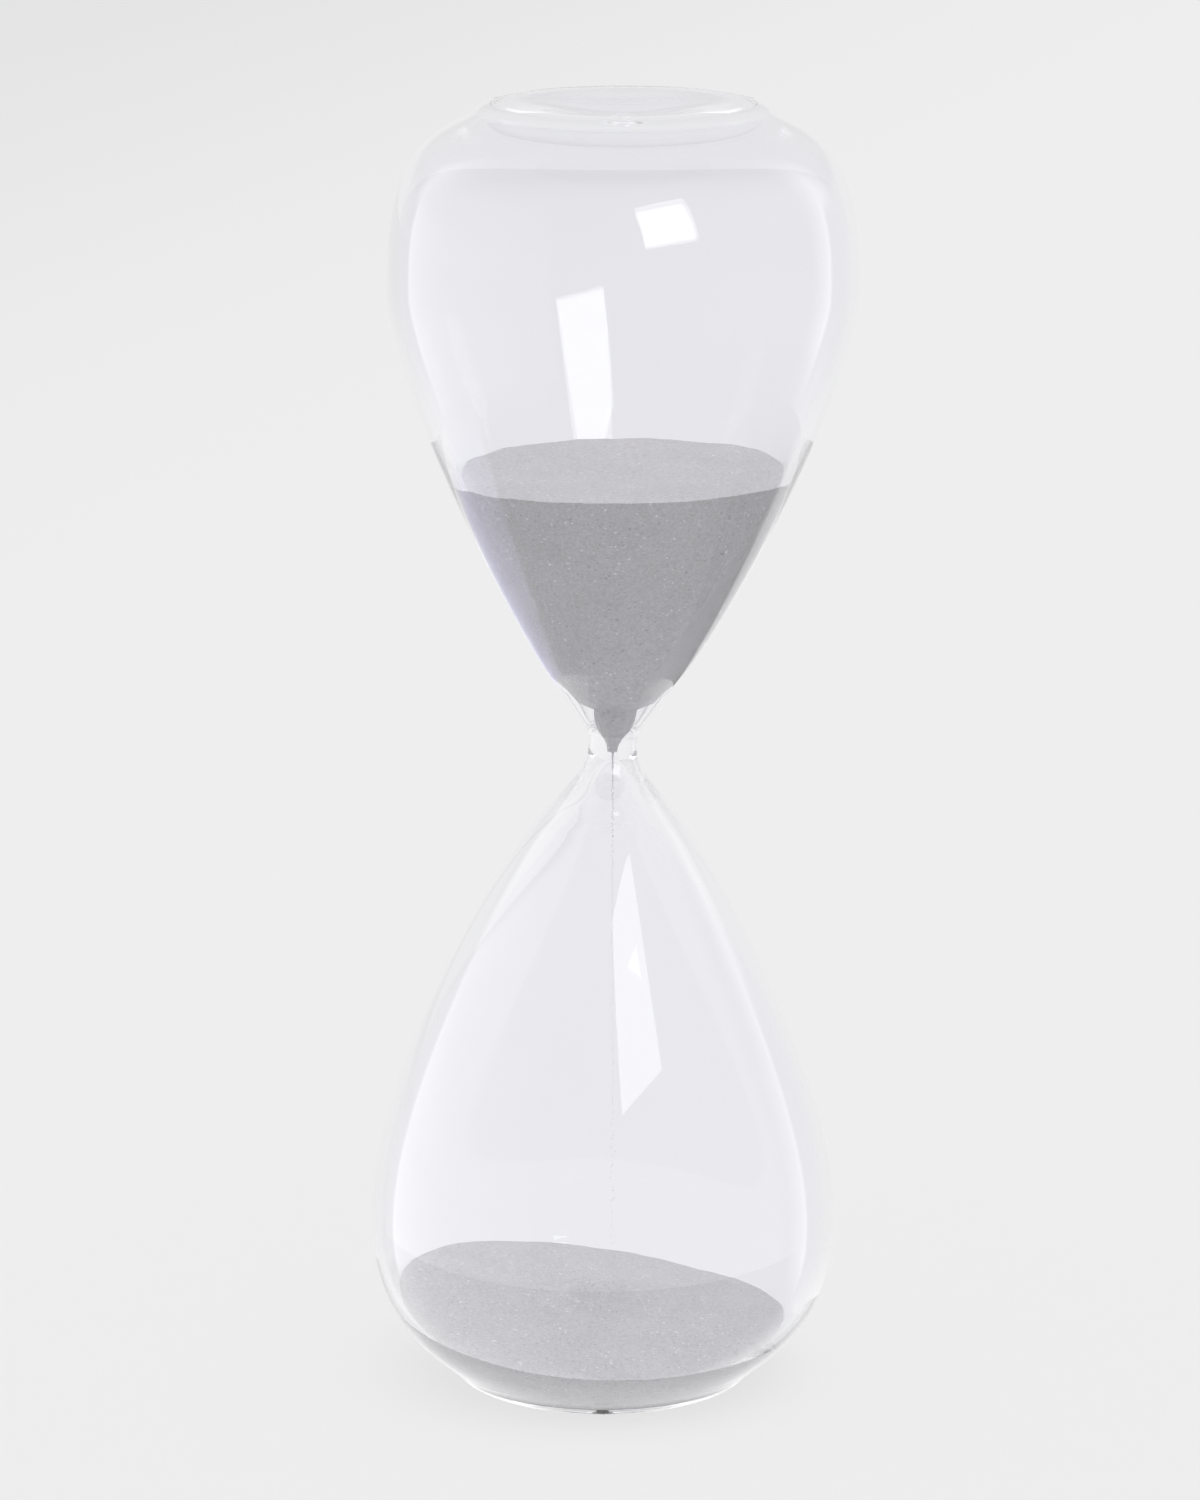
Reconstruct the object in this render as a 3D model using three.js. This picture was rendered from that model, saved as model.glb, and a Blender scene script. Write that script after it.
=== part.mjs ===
// A frameless sand hourglass blown in clear glass: two pear-shaped bulbs fused to a thick-walled
// neck, a seal that closes the filling hole, and the sand. Millimetres, +Z up. The hourglass
// stands on the flat ring of its lower bulb at z = 0, and its upper bulb ends in the same kind
// of ring, so it rests either way up.
import * as THREE from "three";

// ---- Driving dimensions -------------------------------------------------------------------

const FACETS = 40; // round every turned surface
const CURVE_STEPS = 6; // along each stretch of a glass outline

// Each bulb's outline, with heights counted from the middle of the waist towards its foot. A
// reach is how far a curve keeps to its end's direction; an angle is measured from upright at
// the joint and from level at the foot.
const LOWER_BULB = {
  length: 118.8,
  joint: { radius: 12.9, angle: 39, reachToWaist: 12.4, reachToBelly: 5.9 },
  belly: { height: 89.4, radius: 42.6, reachToJoint: 28.8, reachToFoot: 20 },
  foot: { radius: 26.8, angle: 51.5, reach: 5.6 },
  inside: { reachFromMouth: 13, reachToBelly: 30 },
};
const UPPER_BULB = {
  length: 116.3,
  joint: { radius: 12.8, angle: 35.4, reachToWaist: 14.6, reachToBelly: 10.1 },
  belly: { height: 84.3, radius: 42.1, reachToJoint: 19, reachToFoot: 28.9 },
  foot: { radius: 25.2, angle: 51.6, reach: 5.2 },
  inside: { reachFromMouth: 15, reachToBelly: 20 },
};
const JOINT_HEIGHT = 14; // where each bulb is fused to the neck, above and below the waist
const WAIST_RADIUS = 4.4;
const WAIST_REACH = 3.7;

const BELLY_WALL = 1.6;
const FOOT_WALL = 1.8; // thickness of the flat end over its ring
const FOOT_CORNER_WALL = 1.2; // thickness beside the ring, measured level
const FOOT_RING_WIDTH = 4.8; // flat glass that the hourglass stands on
const DISH_DEPTH = 3; // how far each end is pressed in at its centre

// The bore: from each bulb's mouth through a bowl and a narrow funnel to the orifice.
const MOUTH = { radius: 6.9, angle: 43 };
const BOWL = { radius: 2.7, height: 9.3 };
const ORIFICE = { radius: 0.7, length: 1.6, below: 1.2 };
const LOWER_CONE = { radius: 3.9, height: 9 };

const FILL_HOLE_RADIUS = 3.4;
const SEAL = { gap: 0.3, dome: 1.1, nib: 1.6 };
const SEAL_STEPS = 3;

const SAND_GAP = 0.3; // between the sand and the wall that holds it
const UPPER_SAND = { level: 50, dip: 2.5 }; // rim level above the waist, and the dip at its middle
const LOWER_SAND = { level: 12, heap: 2.2 }; // rim level above the table, and the heap on it
const SAND_STEPS = 6;
const STREAM_RADIUS = 0.3;
const STREAM_FACETS = 10;

const LEAN = 1.92; // the axis drifts this far sideways towards each end, as hand work does
const LEAN_HEIGHT = 36.6; // above and below the waist, where most of the drift has happened

const WAIST_Z = LOWER_BULB.length;

// ---- Materials ----------------------------------------------------------------------------

const GLASS = { color: 0xf3f4fa, roughness: 0.03, metalness: 0 };
const SAND = { color: 0xb5b4b8, roughness: 0.95, metalness: 0 };

// ---- Shape helpers ------------------------------------------------------------------------

const point = (radius, height) => new THREE.Vector2(radius, height);

// A point `reach` away from another, in a direction given as an angle from upright.
function along(start, angle, reach) {
  const turn = THREE.MathUtils.degToRad(angle);
  return point(start.x + reach * Math.sin(turn), start.y + reach * Math.cos(turn));
}

function curve(start, startPull, endPull, end, steps = CURVE_STEPS) {
  return new THREE.CubicBezierCurve(start, startPull, endPull, end).getPoints(steps);
}

// Joins stretches that share their end points into one outline.
function chain(...stretches) {
  return stretches.flatMap((points, i) => (i === 0 ? points : points.slice(1)));
}

const backwards = (points) => [...points].reverse();

// Turns heights counted from the waist into heights above the table.
const belowWaist = (points) => points.map((p) => point(p.x, WAIST_Z - p.y));
const aboveWaist = (points) => points.map((p) => point(p.x, WAIST_Z + p.y));

// How far the glassworker's axis stands off the upright at a height above the table.
function leanAt(z) {
  const fromWaist = z - WAIST_Z;
  return (LEAN * fromWaist) / Math.hypot(fromWaist, LEAN_HEIGHT);
}

// Half the difference between the bellies' reach to the right and to the left, so that the
// object's own box is centred on the Z axis.
const UPRIGHT_X =
  (LOWER_BULB.belly.radius -
    UPPER_BULB.belly.radius -
    leanAt(WAIST_Z - LOWER_BULB.belly.height) -
    leanAt(WAIST_Z + UPPER_BULB.belly.height)) /
  2;

// Spins an outline of radii and heights round the Z axis and lets it follow the lean.
function turned(name, outline, finish) {
  const geometry = new THREE.LatheGeometry(outline, FACETS).rotateX(Math.PI / 2);
  const places = geometry.attributes.position;
  for (let i = 0; i < places.count; i++)
    places.setX(i, places.getX(i) + UPRIGHT_X + leanAt(places.getZ(i)));
  return named(name, geometry, finish);
}

function named(name, geometry, finish) {
  const mesh = new THREE.Mesh(geometry, new THREE.MeshStandardMaterial(finish));
  mesh.name = name;
  return mesh;
}

// ---- Outlines of the glass, with heights counted from the waist ---------------------------

// The outside of one half of the neck, from the waist to the joint.
function neckOutside({ joint }) {
  const waist = point(WAIST_RADIUS, 0);
  const end = point(joint.radius, JOINT_HEIGHT);
  return curve(
    waist,
    along(waist, 0, WAIST_REACH),
    along(end, joint.angle, -joint.reachToWaist),
    end,
  );
}

// The outside of a bulb, from the joint over the belly to the outer edge of its foot.
function bulbOutside({ length, joint, belly, foot }) {
  const start = point(joint.radius, JOINT_HEIGHT);
  const widest = point(belly.radius, belly.height);
  const end = point(foot.radius, length);
  return chain(
    curve(
      start,
      along(start, joint.angle, joint.reachToBelly),
      along(widest, 0, -belly.reachToJoint),
      widest,
    ),
    curve(
      widest,
      along(widest, 0, belly.reachToFoot),
      along(end, 90 + foot.angle, foot.reach),
      end,
    ),
  );
}

// The inside of a bulb, from its mouth over the belly to the corner of its floor.
function bulbInside({ length, belly, foot, inside }) {
  const start = point(MOUTH.radius, JOINT_HEIGHT);
  const widest = point(belly.radius - BELLY_WALL, belly.height);
  const end = point(foot.radius - FOOT_CORNER_WALL, length - FOOT_WALL);
  return chain(
    curve(
      start,
      along(start, MOUTH.angle, inside.reachFromMouth),
      along(widest, 0, -inside.reachToBelly),
      widest,
    ),
    curve(
      widest,
      along(widest, 0, belly.reachToFoot - FOOT_WALL / 2),
      along(end, 90 + foot.angle, foot.reach),
      end,
    ),
  );
}

// The pressed-in middle of an end, from a radius to the ring where it starts, as a shallow
// bowl with its deepest point on the axis.
function dish(fromRadius, toRadius, ringHeight) {
  const steps = CURVE_STEPS - 2;
  return Array.from({ length: steps + 1 }, (_, i) => {
    const radius = fromRadius + ((toRadius - fromRadius) * i) / steps;
    const share = Math.cos((Math.PI / 2) * (radius / toRadius));
    return point(radius, ringHeight - DISH_DEPTH * share ** 2);
  });
}

const dishOutside = (bulb, fromRadius) =>
  dish(fromRadius, bulb.foot.radius - FOOT_RING_WIDTH, bulb.length);
const dishInside = (bulb, fromRadius) =>
  dish(fromRadius, bulb.foot.radius - FOOT_CORNER_WALL, bulb.length - FOOT_WALL);

// The bore's upper half, from the orifice through the funnel and the bowl to the mouth. The
// orifice sits a little below the waist, so its first height is negative.
function funnelInside() {
  const start = point(ORIFICE.radius, -ORIFICE.below);
  const step = point(BOWL.radius, BOWL.height);
  const end = point(MOUTH.radius, JOINT_HEIGHT);
  return chain(
    curve(start, point(start.x, 2), point(step.x, 3), step),
    curve(step, point(step.x + 2.6, step.y + 0.3), along(end, MOUTH.angle, -3), end, 4),
  );
}

// The bore's lower half, from the orifice through a plain cone to the mouth.
function coneInside() {
  const start = point(ORIFICE.radius, ORIFICE.below + ORIFICE.length);
  const step = point(LOWER_CONE.radius, LOWER_CONE.height);
  const end = point(MOUTH.radius, JOINT_HEIGHT);
  return chain(
    curve(start, point(start.x + 0.6, start.y + 1), point(step.x - 1, step.y - 2.2), step, 5),
    curve(step, point(step.x + 0.9, step.y + 2), along(end, MOUTH.angle, -2), end, 3),
  );
}

// ---- Glass --------------------------------------------------------------------------------

// Closed at its foot and open at its mouth.
function lowerBulb() {
  const outline = belowWaist([
    ...dishOutside(LOWER_BULB, 0),
    ...backwards(bulbOutside(LOWER_BULB)),
    ...bulbInside(LOWER_BULB),
    ...backwards(dishInside(LOWER_BULB, 0)).slice(1),
  ]);
  return turned("lower_bulb", outline, GLASS);
}

// Open at its mouth and at the filling hole in the middle of its end.
function upperBulb() {
  const outline = aboveWaist([
    ...dishInside(UPPER_BULB, FILL_HOLE_RADIUS),
    ...backwards(bulbInside(UPPER_BULB)).slice(1),
    ...bulbOutside(UPPER_BULB),
    ...backwards(dishOutside(UPPER_BULB, FILL_HOLE_RADIUS)),
  ]);
  return turned("upper_bulb", [...outline, outline[0]], GLASS);
}

// The heavy waist, with the bore that meters the sand.
function neckThroat() {
  const outside = chain(
    backwards(belowWaist(neckOutside(LOWER_BULB))),
    aboveWaist(neckOutside(UPPER_BULB)),
  );
  const bore = [...backwards(aboveWaist(funnelInside())), ...belowWaist(coneInside())];
  return turned("neck_throat", [...outside, ...bore, outside[0]], GLASS);
}

// A button of glass melted into the filling hole.
function fillSeal() {
  const radius = FILL_HOLE_RADIUS - SEAL.gap;
  const hole = dishOutside(UPPER_BULB, FILL_HOLE_RADIUS)[0].y;
  const floor = dishInside(UPPER_BULB, FILL_HOLE_RADIUS)[0].y;
  const dome = curve(
    point(radius, hole),
    point(radius, hole + SEAL.dome * 0.7),
    point(radius / 2, hole + SEAL.dome),
    point(0, hole + SEAL.dome),
    SEAL_STEPS,
  );
  const nib = curve(
    point(0, floor - SEAL.nib),
    point(radius / 3, floor - SEAL.nib),
    point(radius, floor - SEAL.nib * 0.4),
    point(radius, floor),
    SEAL_STEPS,
  );
  return turned("fill_seal", aboveWaist([...nib, ...dome]), GLASS);
}

// ---- Sand ---------------------------------------------------------------------------------

// The wall of the bore and the bulb inside, as radii at heights from the waist.
const upperWall = chain(funnelInside(), bulbInside(UPPER_BULB));
const lowerWall = chain(bulbInside(LOWER_BULB), backwards(dishInside(LOWER_BULB, 0)));

// The radius of a wall at a height, between its points.
function wallRadius(wall, height) {
  const i = wall.findIndex((p) => p.y >= height);
  const [a, b] = [wall[i - 1], wall[i]];
  return THREE.MathUtils.mapLinear(height, a.y, b.y, a.x, b.x);
}

// A surface from the rim of the sand to its middle.
function sandTop(rimRadius, rimZ, middleZ) {
  return Array.from({ length: SAND_STEPS + 1 }, (_, i) => {
    const share = 1 - i / SAND_STEPS;
    return point(rimRadius * share, middleZ + (rimZ - middleZ) * share ** 2);
  });
}

// The sand still to fall, which fills the upper bulb's cone down to the orifice.
function upperSand() {
  const wall = upperWall.filter((p) => p.y < UPPER_SAND.level);
  wall.push(point(wallRadius(upperWall, UPPER_SAND.level), UPPER_SAND.level));
  const side = aboveWaist(wall).map((p) => point(p.x - SAND_GAP, p.y));
  const rim = side.at(-1);
  return turned(
    "upper_sand",
    [
      point(0, side[0].y),
      ...side,
      ...sandTop(rim.x, rim.y, rim.y - UPPER_SAND.dip).slice(1),
    ],
    SAND,
  );
}

// The sand that has fallen, in a low heap on the lower bulb's floor.
function lowerSand() {
  const level = WAIST_Z - LOWER_SAND.level;
  const floor = backwards(dishInside(LOWER_BULB, 0)).length;
  const rim = point(wallRadius(lowerWall, level), level);
  const wall = [rim, ...lowerWall.filter((p) => p.y > level)];
  const side = belowWaist(wall).map((p, i) =>
    i < wall.length - floor
      ? point(p.x - SAND_GAP, p.y + SAND_GAP)
      : point(Math.max(0, p.x - SAND_GAP), p.y + SAND_GAP),
  );
  side.at(-1).x = 0;
  return turned(
    "lower_sand",
    [...backwards(side), ...sandTop(side[0].x, side[0].y, side[0].y + LOWER_SAND.heap).slice(1)],
    SAND,
  );
}

// The falling thread of sand, plumb from the orifice to the heap.
function sandStream() {
  const top = WAIST_Z - ORIFICE.below;
  const bottom = LOWER_SAND.level + LOWER_SAND.heap + 2 * SAND_GAP;
  const geometry = new THREE.CylinderGeometry(
    STREAM_RADIUS,
    STREAM_RADIUS,
    top - bottom,
    STREAM_FACETS,
  )
    .rotateX(Math.PI / 2)
    .translate(UPRIGHT_X, 0, (top + bottom) / 2);
  return named("sand_stream", geometry, SAND);
}

// ---- Assembly -----------------------------------------------------------------------------

const glassware = new THREE.Group();
glassware.add(lowerBulb(), neckThroat(), upperBulb(), fillSeal());

const sand = new THREE.Group();
sand.add(lowerSand(), upperSand(), sandStream());

const hourglass = new THREE.Group();
hourglass.add(glassware, sand);

export default hourglass;
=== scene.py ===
import math
import random

import bpy
from mathutils import Matrix, Vector, noise
from mathutils.geometry import interpolate_bezier


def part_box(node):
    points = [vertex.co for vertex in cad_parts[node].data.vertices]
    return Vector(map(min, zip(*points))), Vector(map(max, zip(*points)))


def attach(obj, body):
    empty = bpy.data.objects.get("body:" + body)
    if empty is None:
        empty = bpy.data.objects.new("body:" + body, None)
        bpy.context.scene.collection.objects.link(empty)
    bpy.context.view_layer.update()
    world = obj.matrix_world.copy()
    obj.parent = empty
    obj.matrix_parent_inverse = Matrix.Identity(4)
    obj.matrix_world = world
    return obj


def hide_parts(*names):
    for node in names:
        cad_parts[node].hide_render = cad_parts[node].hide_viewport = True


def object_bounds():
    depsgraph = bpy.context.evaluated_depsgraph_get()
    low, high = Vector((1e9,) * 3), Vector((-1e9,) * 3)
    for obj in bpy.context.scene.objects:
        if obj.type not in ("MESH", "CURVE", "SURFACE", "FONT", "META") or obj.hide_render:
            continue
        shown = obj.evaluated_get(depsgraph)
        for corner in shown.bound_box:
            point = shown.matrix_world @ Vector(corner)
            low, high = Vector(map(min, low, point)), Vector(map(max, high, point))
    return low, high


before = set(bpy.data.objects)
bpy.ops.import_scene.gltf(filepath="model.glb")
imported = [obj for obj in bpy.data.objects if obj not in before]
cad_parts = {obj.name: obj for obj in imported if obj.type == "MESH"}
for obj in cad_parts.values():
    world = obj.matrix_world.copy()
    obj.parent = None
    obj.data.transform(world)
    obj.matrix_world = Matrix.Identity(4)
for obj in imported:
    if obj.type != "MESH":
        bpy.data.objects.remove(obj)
cad_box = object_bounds()

# ---- Sizes, taken from the frame, in metres ------------------------------------------------

MM = 0.001
BOX = {node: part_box(node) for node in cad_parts}
TOP_Z = cad_box[1].z
NECK_LOW, NECK_HIGH = BOX["neck_throat"]
WAIST_Z = (NECK_LOW.z + NECK_HIGH.z) / 2
JOINT = (NECK_HIGH.z - NECK_LOW.z) / 2  # where each bulb is fused to the neck, from the waist


def half_width(node):
    low, high = BOX[node]
    return (high.y - low.y) / 2


# ---- The blown glass: outlines in millimetres, heights counted from the waist --------------

LOWER, UPPER = -1, 1
# "softness" is how far the fire has rounded the edges of the foot.
BULBS = {
    LOWER: {
        "length": WAIST_Z / MM,
        "joint": {"radius": 12.9, "angle": 39.0, "to_waist": 12.4, "to_belly": 5.9},
        "belly": {
            "radius": half_width("lower_bulb") / MM,
            "height": 89.4,
            "to_joint": 28.8,
            "to_foot": 20.0,
        },
        "foot": {"radius": 26.8, "angle": 51.5, "reach": 5.6},
        "softness": 0.9,
        "inside": {"from_mouth": 13.0, "to_belly": 30.0},
    },
    UPPER: {
        "length": (TOP_Z - WAIST_Z) / MM,
        "joint": {"radius": 12.8, "angle": 35.4, "to_waist": 14.6, "to_belly": 10.1},
        "belly": {
            "radius": half_width("upper_bulb") / MM,
            "height": 84.3,
            "to_joint": 19.0,
            "to_foot": 28.9,
        },
        "foot": {"radius": 25.2, "angle": 51.6, "reach": 5.2},
        "softness": 1.6,
        "inside": {"from_mouth": 15.0, "to_belly": 20.0},
    },
}
JOINT_MM = JOINT / MM
WAIST_RADIUS = 4.4
WAIST_REACH = 3.7
BELLY_WALL = 1.6
FOOT_WALL = 1.8
FOOT_CORNER_WALL = 1.2
FOOT_RING_WIDTH = 4.8
DISH_DEPTH = 3.0
MOUTH = {"radius": 6.9, "angle": 43.0}
BOWL = {"radius": 2.7, "height": 9.3}
ORIFICE = {"radius": 0.7, "length": 1.6, "below": 1.2}
LOWER_CONE = {"radius": 3.9, "height": 9.0}
FILL_HOLE = 3.4
SEAL_RISE = 1.1
SEAL_NIB = 1.6

LEAN = 1.92 * MM  # the glassworker's axis drifts this far towards each end
LEAN_HEIGHT = 36.6 * MM
OUT_OF_ROUND = 0.0035  # share of the radius by which hand work misses a true circle

OUTLINE_STEPS = 36
TURN_STEPS = 192


def lean_at(z):
    return LEAN * (z - WAIST_Z) / math.hypot(z - WAIST_Z, LEAN_HEIGHT)


BELLY_Z = {side: WAIST_Z + side * bulb["belly"]["height"] * MM for side, bulb in BULBS.items()}
UPRIGHT_X = (
    half_width("lower_bulb") - half_width("upper_bulb") - lean_at(BELLY_Z[LOWER]) - lean_at(BELLY_Z[UPPER])
) / 2


def hand_blown(place):
    """Where a point of the true turned shape ends up on the hand-made one."""
    turn = math.atan2(place.y, place.x)
    radius = math.hypot(place.x, place.y)
    swing = math.cos(2 * turn + 9 * place.z / TOP_Z) + 0.5 * math.cos(3 * turn - 14 * place.z / TOP_Z)
    ends = math.sin(math.pi * min(1, max(0, place.z / TOP_Z)))  # the feet stay true
    radius *= 1 - OUT_OF_ROUND * ends * (0.5 + 0.33 * swing)
    return Vector(
        (radius * math.cos(turn) + UPRIGHT_X + lean_at(place.z), radius * math.sin(turn), place.z)
    )


# ---- Drawing and turning -------------------------------------------------------------------


def point(radius, height):
    return Vector((radius, height))


def along(start, angle, reach):
    turn = math.radians(angle)
    return start + reach * Vector((math.sin(turn), math.cos(turn)))


def bend(start, pull, push, end):
    return [start, pull, push, end]


def straight(start, end):
    return [start, start.lerp(end, 1 / 3), start.lerp(end, 2 / 3), end]


def softened(first, second, reach):
    """The two stretches that meet in a corner, cut back by a length and joined by a round."""
    corner = first[3]
    back = (first[2] - corner).normalized() * reach
    ahead = (second[1] - corner).normalized() * reach
    before = [first[0], first[1], first[2] + back, corner + back]
    after = [corner + ahead, second[1] + ahead, second[2], second[3]]
    joined = bend(corner + back, corner + back * 0.4, corner + ahead * 0.4, corner + ahead)
    return [before, joined, after]


def reversed_path(path):
    return [stretch[::-1] for stretch in reversed(path)]


def heights_of(path, side):
    """A path whose heights count from the waist, in metres above the table, in the XZ plane."""
    return [[Vector((p.x * MM, 0, WAIST_Z + side * p.y * MM)) for p in stretch] for stretch in path]


def drawn(name, path, closed):
    """Draws an outline as a Bezier curve and makes it a loop of edges."""
    bpy.ops.object.select_all(action="DESELECT")
    bpy.ops.curve.primitive_bezier_curve_add()
    piece = bpy.context.object
    piece.name = piece.data.name = name
    piece.data.resolution_u = OUTLINE_STEPS
    spline = piece.data.splines[0]
    knots = [stretch[0] for stretch in path] + ([] if closed else [path[-1][3]])
    spline.bezier_points.add(len(knots) - 2)
    spline.use_cyclic_u = closed
    for i, (knot, place) in enumerate(zip(spline.bezier_points, knots)):
        knot.handle_left_type = knot.handle_right_type = "FREE"
        knot.co = place
        knot.handle_left = path[i - 1][2] if closed or i > 0 else place
        knot.handle_right = path[i][1] if i < len(path) else place
    bpy.ops.object.convert(target="MESH")
    piece.data.name = name
    return piece


def turned(name, path, closed, steps=TURN_STEPS, crowding=0.12 * MM):
    """Spins an outline round the Z axis into a closed skin that faces outwards."""
    piece = drawn(name, path, closed)
    bpy.ops.object.mode_set(mode="EDIT")
    bpy.ops.mesh.select_all(action="SELECT")
    bpy.ops.mesh.remove_doubles(threshold=crowding)
    bpy.ops.mesh.select_all(action="SELECT")
    bpy.ops.mesh.spin(steps=steps, angle=2 * math.pi, center=(0, 0, 0), axis=(0, 0, 1))
    bpy.ops.mesh.select_all(action="SELECT")
    bpy.ops.mesh.remove_doubles(threshold=0.004 * MM)
    bpy.ops.mesh.normals_make_consistent(inside=False)
    bpy.ops.object.mode_set(mode="OBJECT")
    return piece


def reshaped(piece, move):
    for vertex in piece.data.vertices:
        vertex.co = move(vertex.co)
    piece.data.update()


def finished(piece, node, smooth_angle=50):
    """Smooths a piece and puts it in the place of its node."""
    bpy.ops.object.select_all(action="DESELECT")
    piece.select_set(True)
    bpy.context.view_layer.objects.active = piece
    bpy.ops.object.shade_smooth_by_angle(angle=math.radians(smooth_angle))
    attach(piece, "root")
    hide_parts(node)


# ---- Node helpers --------------------------------------------------------------------------


def new_material(name):
    material = bpy.data.materials.new(name)
    material.use_nodes = True
    material.node_tree.nodes.clear()
    return material, material.node_tree.nodes, material.node_tree.links


def maths(tree, operation, first, second):
    """A Math node on two inputs, each a socket or a number."""
    node = tree.nodes.new("ShaderNodeMath")
    node.operation = operation
    for socket, value in zip(node.inputs, (first, second)):
        plug(tree, socket, value)
    return node.outputs[0]


def plug(tree, socket, value):
    """Sets an input to a number or a colour, or links it to a socket."""
    if isinstance(value, (int, float, tuple)):
        socket.default_value = value
    else:
        tree.links.new(value, socket)


def blended(tree, share, first, second, kind="FLOAT"):
    """A Mix node between two numbers or two colours."""
    node = tree.nodes.new("ShaderNodeMix")
    node.data_type = kind
    sockets = [socket for socket in node.inputs if socket.enabled]
    for socket, value in zip(sockets, (share, first, second)):
        plug(tree, socket, value)
    return next(socket for socket in node.outputs if socket.enabled)


def step_over(tree, value, level, width):
    """0 below a level and 1 above it, with a soft step of a width."""
    node = tree.nodes.new("ShaderNodeMapRange")
    node.interpolation_type = "SMOOTHSTEP"
    plug(tree, node.inputs["Value"], value)
    node.inputs["From Min"].default_value = level - width / 2
    node.inputs["From Max"].default_value = level + width / 2
    return node.outputs["Result"]


# ---- Materials -----------------------------------------------------------------------------

GLASS_IOR = 1.47
WAVE_SCALE, CORD_SCALE, CORD_SHARE = 42, 190, 0.12
WAVE_DEPTH = 0.012 * MM
OVER_SAND = "height_over_sand"  # a glass surface's height over the sand that lies against it
GRAIN_CONTACT = 0.92  # share of the wall where grains touch the glass and are seen through it
THICK_FOOT = (4.2 * MM, 1 * MM)  # the glass is thick below this height, and grains don't touch it
LONGEST_PATH = 14  # light that the wall has piped further than this is let out


def clear_glass():
    """Slightly lavender blown glass with the faint waves and cords of hand work."""
    material, nodes, links = new_material("clear_blown_glass")
    tree = material.node_tree
    place = nodes.new("ShaderNodeTexCoord")
    cords_map = nodes.new("ShaderNodeMapping")
    cords_map.inputs["Scale"].default_value = (1, 1, 0.12)
    cords = nodes.new("ShaderNodeTexNoise")
    cords.inputs["Scale"].default_value = CORD_SCALE
    cords.inputs["Detail"].default_value = 2
    waves = nodes.new("ShaderNodeTexNoise")
    waves.inputs["Scale"].default_value = WAVE_SCALE
    waves.inputs["Detail"].default_value = 1
    cord_relief = maths(tree, "MULTIPLY", cords.outputs["Fac"], CORD_SHARE)
    relief = maths(tree, "ADD", cord_relief, waves.outputs["Fac"])
    bump = nodes.new("ShaderNodeBump")
    bump.inputs["Strength"].default_value = 0.5
    bump.inputs["Distance"].default_value = WAVE_DEPTH
    tint = nodes.new("ShaderNodeValToRGB")
    tint.color_ramp.elements[0].color = (0.970, 0.970, 0.992, 1)
    tint.color_ramp.elements[1].color = (0.982, 0.981, 0.999, 1)
    glass = nodes.new("ShaderNodeBsdfPrincipled")
    glass.inputs["Transmission Weight"].default_value = 1
    glass.inputs["IOR"].default_value = GLASS_IOR
    glass.inputs["Roughness"].default_value = 0.0
    lamps = nodes.new("ShaderNodeBsdfTransparent")
    lamps.inputs["Color"].default_value = (0.99, 0.99, 0.995, 1)
    path = nodes.new("ShaderNodeLightPath")
    depth = path.outputs["Ray Depth"]
    mix = nodes.new("ShaderNodeMixShader")
    out = nodes.new("ShaderNodeOutputMaterial")
    links.new(place.outputs["Object"], cords_map.inputs["Vector"])
    links.new(cords_map.outputs["Vector"], cords.inputs["Vector"])
    links.new(place.outputs["Object"], waves.inputs["Vector"])
    links.new(waves.outputs["Fac"], tint.inputs["Fac"])
    links.new(tint.outputs["Color"], glass.inputs["Base Color"])
    links.new(relief, bump.inputs["Height"])
    links.new(bump.outputs["Normal"], glass.inputs["Normal"])
    over_sand = nodes.new("ShaderNodeAttribute")
    over_sand.attribute_name = OVER_SAND
    touched = maths(tree, "LESS_THAN", over_sand.outputs["Fac"], 0.0)
    height = nodes.new("ShaderNodeSeparateXYZ")
    links.new(place.outputs["Object"], height.inputs["Vector"])
    first_wall = maths(tree, "LESS_THAN", depth, 1.5)
    contact = maths(tree, "MULTIPLY", first_wall, GRAIN_CONTACT)
    touching = step_over(tree, height.outputs["Z"], *THICK_FOOT)
    contact = maths(tree, "MULTIPLY", contact, touching)
    touched = maths(tree, "MULTIPLY", touched, contact)
    spent = maths(tree, "GREATER_THAN", depth, LONGEST_PATH)
    through = maths(tree, "MAXIMUM", path.outputs["Is Shadow Ray"], path.outputs["Is Diffuse Ray"])
    through = maths(tree, "MAXIMUM", through, maths(tree, "MAXIMUM", touched, spent))
    links.new(through, mix.inputs["Fac"])
    links.new(glass.outputs["BSDF"], mix.inputs[1])
    links.new(lamps.outputs["BSDF"], mix.inputs[2])
    links.new(mix.outputs["Shader"], out.inputs["Surface"])
    return material


def fused_joint():
    """Where two pieces of glass have melted into one, so that light passes straight on."""
    material, nodes, links = new_material("fused_joint")
    through = nodes.new("ShaderNodeBsdfTransparent")
    out = nodes.new("ShaderNodeOutputMaterial")
    links.new(through.outputs["BSDF"], out.inputs["Surface"])
    return material


SAND_SHADE = (0.552, 0.543, 0.556)
GRAIN_TONES_AND_GLINTS = ((0.0, 0.72), (0.03, 0.90), (0.985, 1.08), (1.0, 1.5))  # how grains vary from it: random grain tone, and at the top stop (1.5) painted glints on the brightest few
GRAINS_PER_METRE = 3000


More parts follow.
